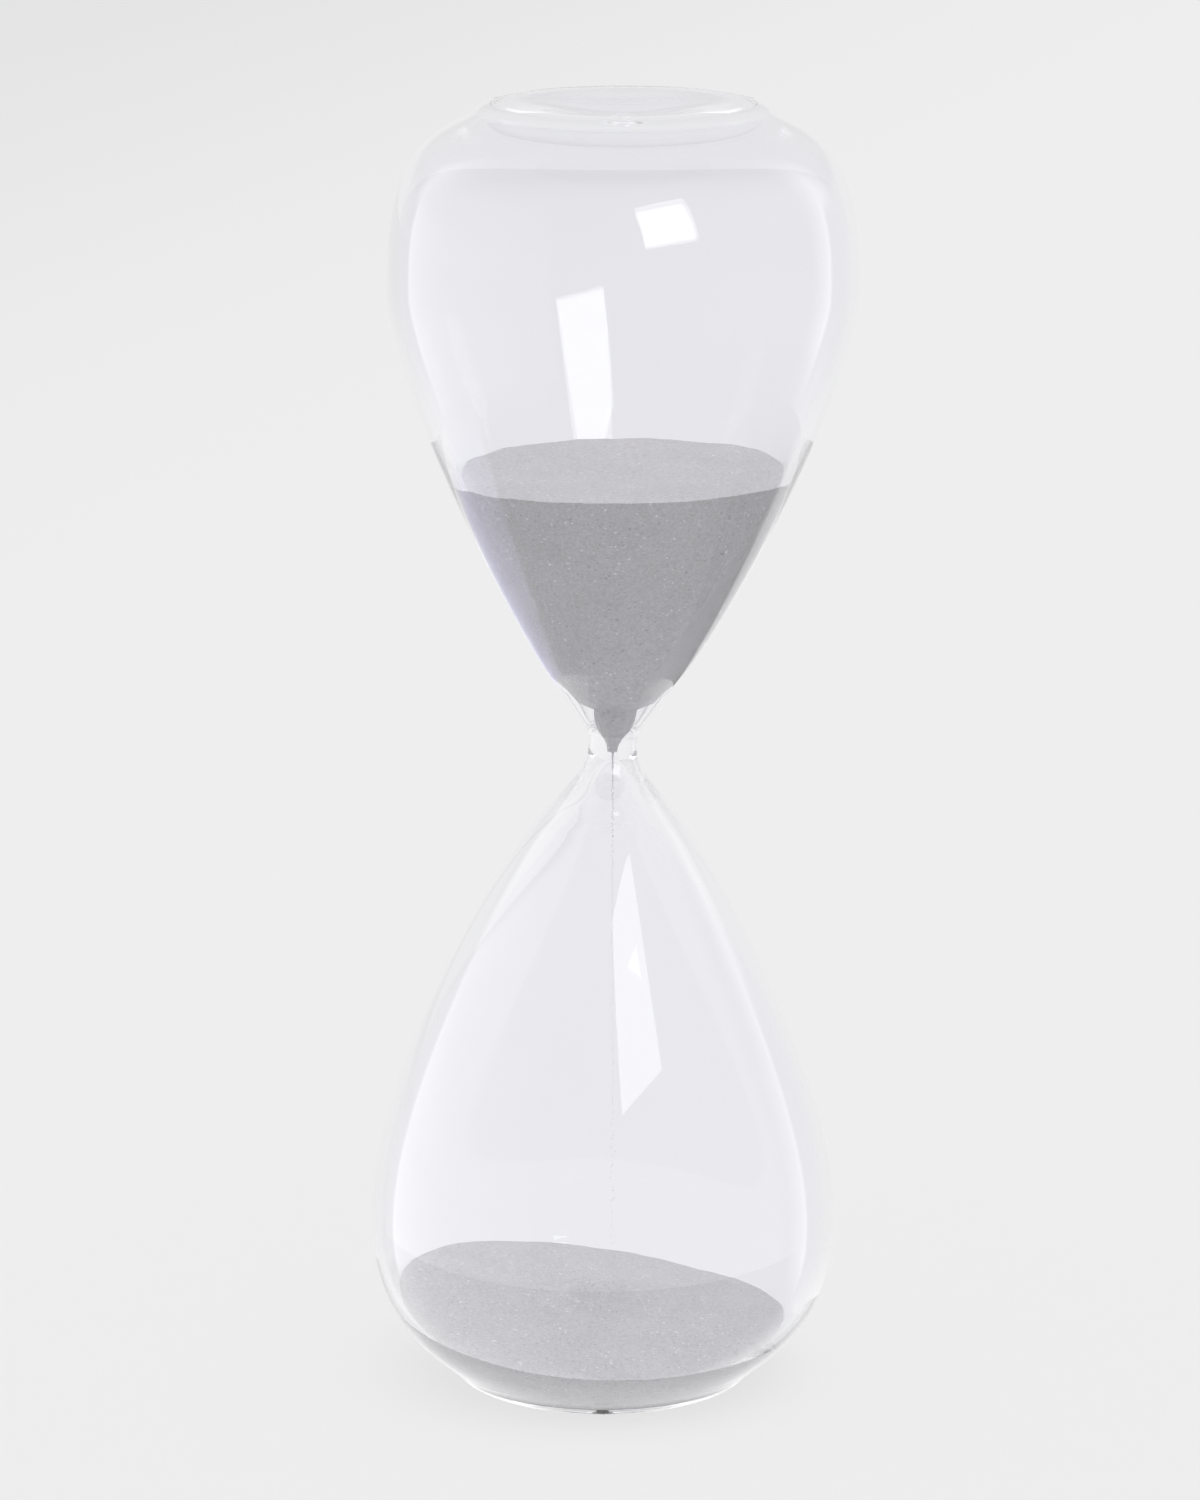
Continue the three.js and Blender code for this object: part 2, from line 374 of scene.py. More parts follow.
def fine_sand(name, shade):
    """Even grey sand: grains a third of a millimetre across, a few of them dark, and the brightest few
    painted glints.
    """
    material, nodes, links = new_material(name)
    tree = material.node_tree
    place = nodes.new("ShaderNodeTexCoord")
    grains = nodes.new("ShaderNodeTexVoronoi")
    grains.inputs["Scale"].default_value = GRAINS_PER_METRE
    drift = nodes.new("ShaderNodeTexNoise")
    drift.inputs["Scale"].default_value = 90
    drift.inputs["Detail"].default_value = 5
    grain_tone_and_glints = nodes.new("ShaderNodeValToRGB")
    ramp = grain_tone_and_glints.color_ramp
    ramp.elements[0].position = 0.0
    ramp.elements[1].position = 1.0
    # The ramp's bright end paints glints on the brightest few grains; the rest is random grain tone.
    for stop, level in GRAIN_TONES_AND_GLINTS:
        if 0 < stop < 1:
            element = ramp.elements.new(stop)
        else:
            element = ramp.elements[0 if stop == 0 else -1]
        element.color = (shade[0] * level, shade[1] * level, shade[2] * level, 1)
    patchy = nodes.new("ShaderNodeMix")
    patchy.data_type = "RGBA"
    patchy.blend_type = "MULTIPLY"
    patchy.inputs["Factor"].default_value = 1.0
    cloud = nodes.new("ShaderNodeValToRGB")
    cloud.color_ramp.elements[0].position = 0.3
    cloud.color_ramp.elements[0].color = (0.94, 0.94, 0.94, 1)
    cloud.color_ramp.elements[1].position = 0.7
    cloud.color_ramp.elements[1].color = (1.0, 1.0, 1.0, 1)
    split = nodes.new("ShaderNodeSeparateColor")
    bump = nodes.new("ShaderNodeBump")
    bump.inputs["Strength"].default_value = 0.5
    bump.inputs["Distance"].default_value = 0.00012
    sand = nodes.new("ShaderNodeBsdfPrincipled")
    sand.inputs["Roughness"].default_value = 0.85
    sand.inputs["Specular IOR Level"].default_value = 0.25
    out = nodes.new("ShaderNodeOutputMaterial")
    links.new(place.outputs["Object"], grains.inputs["Vector"])
    links.new(place.outputs["Object"], drift.inputs["Vector"])
    links.new(grains.outputs["Color"], split.inputs["Color"])
    links.new(split.outputs["Red"], grain_tone_and_glints.inputs["Fac"])
    links.new(drift.outputs["Fac"], cloud.inputs["Fac"])
    links.new(grain_tone_and_glints.outputs["Color"], patchy.inputs["A"])
    links.new(cloud.outputs["Color"], patchy.inputs["B"])
    links.new(patchy.outputs["Result"], sand.inputs["Base Color"])
    links.new(maths(tree, "MULTIPLY", grains.outputs["Distance"], -1.0), bump.inputs["Height"])
    links.new(bump.outputs["Normal"], sand.inputs["Normal"])
    links.new(sand.outputs["BSDF"], out.inputs["Surface"])
    return material


GLASS = clear_glass()
FUSED = fused_joint()
SAND = fine_sand("fine_grey_sand", SAND_SHADE)


# ---- Outlines of the glass -----------------------------------------------------------------


def landmarks(side):
    """The named points of a bulb's outline."""
    bulb = BULBS[side]
    length, foot, belly = bulb["length"], bulb["foot"], bulb["belly"]
    floor = length - FOOT_WALL
    return {
        "joint": point(bulb["joint"]["radius"], JOINT_MM),
        "mouth": point(MOUTH["radius"], JOINT_MM),
        "widest": point(belly["radius"], belly["height"]),
        "widest_inside": point(belly["radius"] - BELLY_WALL, belly["height"]),
        "foot": point(foot["radius"], length),
        "ring": point(foot["radius"] - FOOT_RING_WIDTH, length),
        "centre": point(0, length - DISH_DEPTH),
        "corner": point(foot["radius"] - FOOT_CORNER_WALL, floor),
        "centre_inside": point(0, floor - DISH_DEPTH),
    }


def outside_path(side):
    """From the joint over the belly to the middle of the pressed-in foot."""
    bulb, at = BULBS[side], landmarks(side)
    joint, belly, foot = bulb["joint"], bulb["belly"], bulb["foot"]
    shoulder = bend(
        at["joint"],
        along(at["joint"], joint["angle"], joint["to_belly"]),
        along(at["widest"], 0, -belly["to_joint"]),
        at["widest"],
    )
    skirt = bend(
        at["widest"],
        along(at["widest"], 0, belly["to_foot"]),
        along(at["foot"], 90 + foot["angle"], foot["reach"]),
        at["foot"],
    )
    ring = straight(at["foot"], at["ring"])
    return [shoulder, *softened(skirt, ring, bulb["softness"]), dish(at["ring"], at["centre"])]


def dish(rim, centre):
    """A shallow S from a level rim to a level middle."""
    reach = 0.38 * (rim.x - centre.x)
    return bend(rim, rim - point(reach, 0), centre + point(reach, 0), centre)


def inside_path(side):
    """From the mouth over the belly to the middle of the floor."""
    bulb, at = BULBS[side], landmarks(side)
    inside, belly, foot = bulb["inside"], bulb["belly"], bulb["foot"]
    shoulder = bend(
        at["mouth"],
        along(at["mouth"], MOUTH["angle"], inside["from_mouth"]),
        along(at["widest_inside"], 0, -inside["to_belly"]),
        at["widest_inside"],
    )
    skirt = bend(
        at["widest_inside"],
        along(at["widest_inside"], 0, belly["to_foot"] - FOOT_WALL / 2),
        along(at["corner"], 90 + foot["angle"], foot["reach"]),
        at["corner"],
    )
    floor = dish(at["corner"], at["centre_inside"])
    return [shoulder, *softened(skirt, floor, bulb["softness"])]


def cut_at(path, radius):
    """A path that runs in to the axis, ended at a radius instead, and the height it has there."""
    stretch = path[-1]
    share = next(i / 400 for i in range(401) if bezier_at(stretch, i / 400).x <= radius)
    kept = first_part(stretch, share)
    return path[:-1] + [kept], kept[3].y


def bezier_at(stretch, t):
    a, b, c, d = stretch
    s = 1 - t
    return a * s**3 + b * (3 * s * s * t) + c * (3 * s * t * t) + d * t**3


def first_part(stretch, t):
    """The start of a Bezier stretch, up to a share of its run."""
    a, b, c, d = stretch
    ab, bc, cd = a.lerp(b, t), b.lerp(c, t), c.lerp(d, t)
    abc, bcd = ab.lerp(bc, t), bc.lerp(cd, t)
    return [a, ab, abc, abc.lerp(bcd, t)]


def neck_outside(side):
    """From the waist to the joint."""
    joint = BULBS[side]["joint"]
    waist, end = point(WAIST_RADIUS, 0), landmarks(side)["joint"]
    return bend(waist, along(waist, 0, WAIST_REACH), along(end, joint["angle"], -joint["to_waist"]), end)


def funnel_path():
    """The bore's upper half, from the orifice through the funnel and the bowl to the mouth."""
    start = point(ORIFICE["radius"], -ORIFICE["below"])
    step = point(BOWL["radius"], BOWL["height"])
    end = landmarks(UPPER)["mouth"]
    return [
        bend(start, point(start.x, 2), point(step.x, 3), step),
        bend(step, point(step.x + 2.6, step.y + 0.3), along(end, MOUTH["angle"], -3), end),
    ]


def cone_path():
    """The bore's lower half, from the orifice through a plain cone to the mouth."""
    start = point(ORIFICE["radius"], ORIFICE["below"] + ORIFICE["length"])
    step = point(LOWER_CONE["radius"], LOWER_CONE["height"])
    end = landmarks(LOWER)["mouth"]
    return [
        bend(start, point(start.x + 0.6, start.y + 1), point(step.x - 1, step.y - 2.2), step),
        bend(step, point(step.x + 0.9, step.y + 2), along(end, MOUTH["angle"], -2), end),
    ]


# ---- Where the sand lies against the glass -------------------------------------------------

SAND_CLEARANCE = 0.12 * MM  # between the sand's own skin and the glass


def wall_points(path, side):
    """Points along a path of the bore or a bulb's inside, in metres above the table."""
    places = []
    for stretch in heights_of(path, side):
        places += interpolate_bezier(*stretch, 60)
    return [(p.z, p.x) for p in places]


def lower_wall():
    return wall_points(reversed_path(inside_path(LOWER)[:2]), LOWER)


def upper_wall():
    return wall_points(funnel_path() + inside_path(UPPER), UPPER)


def radius_at(wall, z):
    """The radius of a wall at a height, from its points in rising order."""
    for (below_z, below), (above_z, above) in zip(wall, wall[1:]):
        if below_z <= z <= above_z and above_z > below_z:
            return below + (above - below) * (z - below_z) / (above_z - below_z)
    return wall[-1][1] if z > wall[-1][0] else wall[0][1]


def rim_of(wall, surface):
    """A function that gives the radius and height of the sand's rim for a turn."""
    rims = {}

    def rim(turn):
        key = round(turn, 4)
        if key not in rims:
            z = surface(0, 0)
            for _ in range(6):
                radius = radius_at(wall, z) - SAND_CLEARANCE
                z = surface(radius * math.cos(turn), radius * math.sin(turn))
            rims[key] = (radius_at(wall, z) - SAND_CLEARANCE, z)
        return rims[key]

    return rim


def height_over(vertex, sand):
    """How far a vertex of the glass is over the sand's rim, or a metre where no sand reaches it."""
    place, outward = vertex.co, vertex.normal
    turn = math.atan2(place.y, place.x)
    leans_out = outward.x * math.cos(turn) + outward.y * math.sin(turn)
    inner = leans_out < -0.3 or outward.z > 0.9
    if sand is None or not inner or place.z < sand["floor"]:
        return 1.0
    return place.z - sand["rim"](turn)[1]


# ---- Glass pieces --------------------------------------------------------------------------


def glass_finish(piece, node, fused, sand=None):
    """Clear glass all over, but for the faces where it is fused to its neighbour.

    sand says where the sand against it begins, and the height of its rim.
    """
    over = piece.data.attributes.new(OVER_SAND, "FLOAT", "POINT")
    for vertex, value in zip(piece.data.vertices, over.data):
        value.value = height_over(vertex, sand)
    piece.data.materials.append(GLASS)
    piece.data.materials.append(FUSED)
    for face in piece.data.polygons:
        face.material_index = 1 if fused(face) else 0
    reshaped(piece, hand_blown)
    finished(piece, node)


def on_joint(face):
    return abs(face.normal.z) > 0.99 and abs(abs(face.center.z - WAIST_Z) - JOINT) < 0.01 * MM


def in_fill_hole(face):
    level = abs(face.normal.z) < 0.05
    return level and abs(math.hypot(face.center.x, face.center.y) - FILL_HOLE * MM) < 0.02 * MM


def lower_bulb():
    at = landmarks(LOWER)
    path = [
        *reversed_path(outside_path(LOWER)),
        straight(at["joint"], at["mouth"]),
        *inside_path(LOWER),
    ]
    piece = turned("lower_bulb_glass", heights_of(path, LOWER), closed=False)
    resting = {"floor": 0.0, "rim": rim_of(lower_wall(), fallen_surface)}
    glass_finish(piece, "lower_bulb", on_joint, resting)


def upper_bulb():
    at = landmarks(UPPER)
    outside, hole_top = cut_at(outside_path(UPPER), FILL_HOLE)
    inside, hole_floor = cut_at(inside_path(UPPER), FILL_HOLE)
    path = [
        *inside,
        straight(inside[-1][3], outside[-1][3]),
        *reversed_path(outside),
        straight(at["joint"], at["mouth"]),
    ]
    piece = turned("upper_bulb_glass", heights_of(path, UPPER), closed=True)
    waiting = {"floor": 0.0, "rim": rim_of(upper_wall(), waiting_surface)}
    glass_finish(piece, "upper_bulb", lambda face: on_joint(face) or in_fill_hole(face), waiting)
    return hole_top, hole_floor


def neck_throat():
    lower, upper = landmarks(LOWER), landmarks(UPPER)
    land = straight(
        Vector((ORIFICE["radius"] * MM, 0, WAIST_Z - (ORIFICE["below"] + ORIFICE["length"]) * MM)),
        Vector((ORIFICE["radius"] * MM, 0, WAIST_Z - ORIFICE["below"] * MM)),
    )
    path = [
        *heights_of([neck_outside(UPPER), straight(upper["joint"], upper["mouth"])], UPPER),
        *heights_of(reversed_path(funnel_path()), UPPER),
        land[::-1],
        *heights_of(cone_path(), LOWER),
        *heights_of([straight(lower["mouth"], lower["joint"])], LOWER),
        *heights_of([neck_outside(LOWER)[::-1]], LOWER),
    ]
    piece = turned("neck_throat_glass", path, closed=True)
    waiting = {
        "floor": WAIST_Z - ORIFICE["below"] * MM,
        "rim": rim_of(upper_wall(), waiting_surface),
    }
    glass_finish(piece, "neck_throat", on_joint, waiting)


def fill_seal(hole_top, hole_floor):
    rim, floor = point(FILL_HOLE, hole_top), point(FILL_HOLE, hole_floor)
    tip, crown = point(0, hole_floor - SEAL_NIB), point(0, hole_top + SEAL_RISE)
    path = [
        bend(crown, crown + point(FILL_HOLE * 0.45, 0), rim + point(-0.9, 0.45), rim),
        straight(rim, floor),
        bend(floor, floor + point(-1.2, -0.5), tip + point(FILL_HOLE * 0.35, 0), tip),
    ]
    piece = turned("fill_seal_glass", heights_of(path, UPPER), closed=False, crowding=0.05 * MM)
    glass_finish(piece, "fill_seal", in_fill_hole)


# ---- Sand ----------------------------------------------------------------------------------

CAN_FLOOR_RINGS, CAN_WALL_RINGS, CAN_TOP_RINGS = 16, 40, 90
SAND_TURN_STEPS = 200


def can_of_sand(name):
    """A turned can of unit size, whose floor, wall and top are shaped afterwards."""
    bpy.ops.object.select_all(action="DESELECT")
    bpy.ops.mesh.primitive_plane_add(size=1, location=(0, 0, 0))
    piece = bpy.context.object
    piece.name = piece.data.name = name
    rows = (
        [(i / CAN_FLOOR_RINGS, 0.0) for i in range(CAN_FLOOR_RINGS)]
        + [(1.0, i / CAN_WALL_RINGS) for i in range(CAN_WALL_RINGS)]
        + [(1 - i / CAN_TOP_RINGS, 1.0) for i in range(CAN_TOP_RINGS + 1)]
    )
    piece.data.clear_geometry()
    piece.data.from_pydata([(r, 0, z) for r, z in rows], [(i, i + 1) for i in range(len(rows) - 1)], [])
    bpy.ops.object.mode_set(mode="EDIT")
    bpy.ops.mesh.select_all(action="SELECT")
    bpy.ops.mesh.spin(steps=SAND_TURN_STEPS, angle=2 * math.pi, center=(0, 0, 0), axis=(0, 0, 1))
    bpy.ops.mesh.select_all(action="SELECT")
    bpy.ops.mesh.remove_doubles(threshold=0.0001)
    bpy.ops.mesh.normals_make_consistent(inside=False)
    bpy.ops.object.mode_set(mode="OBJECT")
    return piece


def poured(name, node, floor, wall, surface):
    """Sand that fills a hollow from its floor up to a surface.

    floor gives a height for a radius, wall is the hollow's points, and surface gives a height
    for a place seen from above.
    """
    piece = can_of_sand(name)
    base_radius = wall[0][1]
    rim = rim_of(wall, surface)

    def pour(place):
        turn = math.atan2(place.y, place.x)
        share = math.hypot(place.x, place.y)
        rim_radius, rim_z = rim(turn)
        low = floor(base_radius)
        if share < 0.9999 and place.z < 0.5:
            radius = share * (base_radius - SAND_CLEARANCE)
            z = floor(radius) + SAND_CLEARANCE
        elif share < 0.9999:
            radius = share * rim_radius
            z = surface(radius * math.cos(turn), radius * math.sin(turn))
        else:
            z = low + SAND_CLEARANCE + place.z * (rim_z - low - SAND_CLEARANCE)
            radius = radius_at(wall, z) - SAND_CLEARANCE
        return hand_blown(Vector((radius * math.cos(turn), radius * math.sin(turn), z)))

    reshaped(piece, pour)
    piece.data.materials.append(SAND)
    finished(piece, node, smooth_angle=60)
    return piece


def lumps(x, y, size, height):
    return height * noise.noise(Vector((x / size, y / size, 3.7)))


FALLEN_RIM = 11.5 * MM
FALLEN_REACH = 37 * MM
FALLEN_HEAP = 1.9 * MM
DIMPLE_DEPTH, DIMPLE_RADIUS = 2.2 * MM, 3.2 * MM
RING_HEIGHT, RING_RADIUS, RING_WIDTH = 1.1 * MM, 6.8 * MM, 2.4 * MM
RIPPLE_HEIGHT, RIPPLE_SPACING, RIPPLE_RADIUS, RIPPLE_WIDTH = 0.05 * MM, 0.5 * MM, 15 * MM, 5 * MM
SLIP_HEIGHT, SLIP_RADIUS, SLIP_WIDTH = 0.28 * MM, 13 * MM, 1.3 * MM


def hump(distance, middle, width):
    """A rounded hump, 1 high, over a distance."""
    return math.exp(-(((distance - middle) / width) ** 2))


def fallen_surface(x, y):
    """The sand in the lower bulb: higher at the left, with a low heap and a dimple under the stream."""
    share = min(1.2, math.hypot(x, y) / FALLEN_REACH)
    turn = math.atan2(y, x)
    rim = (-3.2 * math.cos(turn) + 1.2 * math.cos(2 * turn) - 0.9 * math.sin(2 * turn)) * MM
    heap = FALLEN_HEAP * (1 - share**2)
    centre = math.hypot(x - UPRIGHT_X, y)
    dimple = -DIMPLE_DEPTH * hump(centre, 0, DIMPLE_RADIUS)
    ring = RING_HEIGHT * hump(centre, RING_RADIUS, RING_WIDTH)
    ripples = RIPPLE_HEIGHT * math.sin(centre / RIPPLE_SPACING)
    ripples *= hump(centre, RIPPLE_RADIUS, RIPPLE_WIDTH)
    to_left = max(0.0, (UPRIGHT_X - x) / (centre + MM)) ** 2
    slip = SLIP_HEIGHT * to_left * hump(centre, SLIP_RADIUS, SLIP_WIDTH)
    small = lumps(x, y, 9 * MM, 0.35 * MM) + lumps(x, y, 3 * MM, 0.12 * MM)
    edge = 1 - min(1, max(0, (share - 0.9) / 0.1))
    marks = dimple + ring + ripples + slip
    return FALLEN_RIM + rim * share**1.4 + heap + marks + small * (0.4 + 0.6 * edge)


WAITING_LEVEL = WAIST_Z + 50 * MM
WAITING_SLOPE = 0.012


def waiting_surface(x, y):
    """The sand still to fall: nearly level, drawn down a little over the neck."""
    centre = math.hypot(x, y)
    dip = -0.9 * MM * hump(centre, 0, 13 * MM)
    front = 0.9 * MM * max(0.0, -y / (30 * MM)) ** 2
    small = lumps(x, y, 8 * MM, 0.35 * MM) + lumps(x, y, 2.5 * MM, 0.1 * MM)
    return WAITING_LEVEL + WAITING_SLOPE * x + front + dip + small


def lower_sand():
    at = landmarks(LOWER)
    wall = lower_wall()
    corner, centre = at["corner"], at["centre_inside"]
    floor_line = interpolate_bezier(*heights_of([dish(corner, centre)], LOWER)[0], 60)

    def floor(radius):
        for outer, inner in zip(floor_line, floor_line[1:]):
            if inner.x <= radius <= outer.x:
                return inner.z + (outer.z - inner.z) * (radius - inner.x) / (outer.x - inner.x)
        return floor_line[0].z

    poured("lower_sand_heap", "lower_sand", floor, wall, fallen_surface)


def upper_sand():
    wall = upper_wall()
    poured("upper_sand_fill", "upper_sand", lambda radius: wall[0][0], wall, waiting_surface)


STREAM_GRAINS = 240
GRAIN_RADIUS = 0.10 * MM


def sand_stream():
    """Loose grains that fall from the orifice, packed at the top and sparse further down."""
    top = WAIST_Z - ORIFICE["below"] * MM
    bottom = fallen_surface(0, 0) + 2 * GRAIN_RADIUS
    shake = random.Random(7)
    bpy.ops.object.select_all(action="DESELECT")
    bpy.ops.mesh.primitive_ico_sphere_add(subdivisions=1, radius=GRAIN_RADIUS, location=(0, 0, 0))
    grain = bpy.context.object
    grains = [grain]
    for i in range(STREAM_GRAINS):
        copy = grain.copy()
        copy.data = grain.data.copy()
        bpy.context.collection.objects.link(copy)
        fall = (i + shake.random()) / STREAM_GRAINS
        z = top - (top - bottom) * fall**3
        spread = (0.10 + 0.25 * fall) * MM
        place = Vector((UPRIGHT_X + shake.gauss(0, spread / 2), shake.gauss(0, spread / 2), z))
        angle = shake.uniform(0, 6.283)
        axis = Vector((shake.gauss(0, 1), shake.gauss(0, 1), 1))
        turn = Matrix.Rotation(angle, 4, axis)
        across = shake.uniform(0.7, 1.2), shake.uniform(0.7, 1.2)
        size = Matrix.Diagonal((*across, shake.uniform(0.8, 1.4), 1))
        copy.data.transform(Matrix.Translation(place) @ turn @ size)
        grains.append(copy)
    bpy.data.objects.remove(grains.pop(0))
    for copy in grains:
        copy.select_set(True)
    bpy.context.view_layer.objects.active = grains[0]
    bpy.ops.object.join()
    piece = bpy.context.object
    piece.name = piece.data.name = "sand_stream_grains"
    piece.data.materials.append(SAND)
    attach(piece, "root")
    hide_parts("sand_stream")


# ---- Camera, floor and light ---------------------------------------------------------------

STUDIO_WHITE = 0.855
FLOOR_GLOW = 0.72  # the floor is lit from below as a light table is, so shadows on it stay faint
PAINTED_SHADOW_UNDER_FOOT = (25 * MM, 4 * MM)  # painted shadow: the floor's glow is taken away under the foot to this radius, softly
FAR_SLANT, FAR_FALL, FAR_PAINTED_SHADE = 3.0, (2.2, 2.4), 0.078  # painted shade: the floor's glow dims towards the far left
SKY_TOP, SKY_EVEN = 2.02, 0.115  # light from straight overhead, and from all round
FLOOR_PAINT = (STUDIO_WHITE - FLOOR_GLOW) / (SKY_TOP / 2 + SKY_EVEN)


CAMERA_PLACE = (-2.06 * MM, -4.35 * TOP_Z, 1.565 * TOP_Z)
CAMERA_TILT = math.radians(13.75)
LENS_LENGTH, FILM_HEIGHT = 139.6, 36


def camera():
    lens = bpy.data.cameras.new("camera")
    holder = bpy.data.objects.new("camera", lens)
    bpy.context.scene.collection.objects.link(holder)
    lens.sensor_fit = "VERTICAL"
    lens.sensor_height = FILM_HEIGHT
    lens.lens = LENS_LENGTH
    lens.clip_end = 50
    holder.location = CAMERA_PLACE
    holder.rotation_euler = (math.pi / 2 - CAMERA_TILT, 0, 0)
    bpy.context.scene.camera = holder


def floor():
    bpy.ops.object.select_all(action="DESELECT")
    bpy.ops.mesh.primitive_circle_add(vertices=128, radius=6, fill_type="NGON", location=(0, 0, 0))
    ground = bpy.context.object
    ground.name = "studio_floor"
    ground.visible_glossy = False  # mirrored light comes from the room that studio() makes
    material, nodes, links = new_material("pale_floor")
    paint = nodes.new("ShaderNodeBsdfDiffuse")
    paint.inputs["Color"].default_value = (FLOOR_PAINT,) * 3 + (1,)
    place = nodes.new("ShaderNodeTexCoord")
    from_foot = nodes.new("ShaderNodeVectorMath")
    from_foot.operation = "DISTANCE"
    from_foot.inputs[1].default_value = (UPRIGHT_X + lean_at(0), 0, 0)
    links.new(place.outputs["Object"], from_foot.inputs[0])
    tree = material.node_tree
    # Painted shadow under the foot: the floor's glow fades out within this radius.
    outside_painted_shadow = step_over(tree, from_foot.outputs["Value"], *PAINTED_SHADOW_UNDER_FOOT)
    across = nodes.new("ShaderNodeSeparateXYZ")
    links.new(place.outputs["Object"], across.inputs["Vector"])
    glow = nodes.new("ShaderNodeEmission")
    # Painted shade: the floor's glow is dimmed towards the far left.
    leftwards = maths(tree, "MULTIPLY", across.outputs["X"], -FAR_SLANT)
    far_left = maths(tree, "ADD", across.outputs["Y"], leftwards)
    fall = maths(tree, "MULTIPLY", step_over(tree, far_left, *FAR_FALL), FAR_PAINTED_SHADE)
    even = maths(tree, "MULTIPLY", outside_painted_shadow, FLOOR_GLOW)
    links.new(maths(tree, "SUBTRACT", even, fall), glow.inputs["Strength"])
    both = nodes.new("ShaderNodeAddShader")
    out = nodes.new("ShaderNodeOutputMaterial")
    links.new(paint.outputs["BSDF"], both.inputs[0])
    links.new(glow.outputs["Emission"], both.inputs[1])
    links.new(both.outputs["Shader"], out.inputs["Surface"])
    ground.data.materials.append(material)


# Radiance mirrored from round the room, by degrees from the front, with the right positive: a
# dark gap at the front between two long panels, and the white backdrop behind. The high row is
# dimmer behind, the deep row is the table far off, and the low row is on the lid of drum().
ROOM = (
    (-180, STUDIO_WHITE),
    (-128.5, STUDIO_WHITE),
    (-127, 2.0),
    (-100, 1.5),
    (-50, 0.75),
    (-36, 0.65),
    (-34.5, 0.36),
    (34.5, 0.36),
    (36, 0.42),
    (104, 0.7),
    (120, 2.2),
    (121.5, STUDIO_WHITE),
    (180, STUDIO_WHITE),
)
ROOM_HIGH = (
    (-180, 0.66),
    (-135, 0.66),
    (-127, 1.8),
    (-100, 1.3),
    (-50, 0.65),
    (-34.5, 0.36),
    (34.5, 0.36),
    (104, 0.7),
    (120, 2.0),
    (135, 0.66),
    (180, 0.66),
)
ROOM_DEEP = (
    (-180, 1.35),
    (-130, 1.35),
    (-100, 1.3),
    (-50, 0.75),
    (-36, 0.6),
    (-34.5, 0.36),
    (94, 0.36),
    (112, 0.6),
    (128, 1.2),
    (180, 1.3),
)
LAVENDER = (1.05, 1.02, 1.36)
ROOM_LOW = (
    (-180, 1.1),
    (-125, LAVENDER),
    (-84, LAVENDER),
    (-80, 0.40),
    (0, 0.36),
    (70, 0.36),
    (72, 0.05),
    (116, 0.05),
    (122, 1.1),
    (180, 1.1),
)
DRUM_GLOW = (
    (-180, 0.0),
    (-120, 0.0),
    (-90, 0.75),
    (-40, 1.15),
    (40, 1.15),
    (80, 0.80),
    (100, 0.0),
    (180, 0.0),
)
ROOM_SCALE = 4.0
CEILING = 0.42
# Steps between rows, each as the sine of a height and the width of the step.
BACKDROP_TOP = (0.14, 0.12)  # over it the backdrop is dimmer
TABLE_DEPTH = (-0.42, 0.24)  # below it mirrors see the deep row
PANEL_TOP = (0.62, 0.5)  # at it the panels end and the ceiling begins


def room_row(tree, share, row):
    """The radiance of one row, from a share of the whole turn."""
    ramp = tree.nodes.new("ShaderNodeValToRGB")
    stops = ramp.color_ramp.elements
    for i, (degrees, level) in enumerate(row):
        stop = stops[0] if i == 0 else stops[-1] if i == len(row) - 1 else stops.new(degrees / 360 + 0.5)
        stop.position = degrees / 360 + 0.5
        shade = level if isinstance(level, tuple) else (level,) * 3
        stop.color = (*(part / ROOM_SCALE for part in shade), 1)
    tree.links.new(share, ramp.inputs["Fac"])
    scaled = tree.nodes.new("ShaderNodeVectorMath")
    scaled.operation = "SCALE"
    scaled.inputs["Scale"].default_value = ROOM_SCALE
    tree.links.new(ramp.outputs["Color"], scaled.inputs[0])
    return scaled.outputs["Vector"]


def round_the_room(tree, axes):
    """The share of a turn, with the front in the middle, from a place or a direction."""
    forward = maths(tree, "MULTIPLY", axes.outputs["Y"], -1.0)
    turn = maths(tree, "ARCTAN2", axes.outputs["X"], forward)
    return maths(tree, "ADD", maths(tree, "DIVIDE", turn, 2 * math.pi), 0.5)


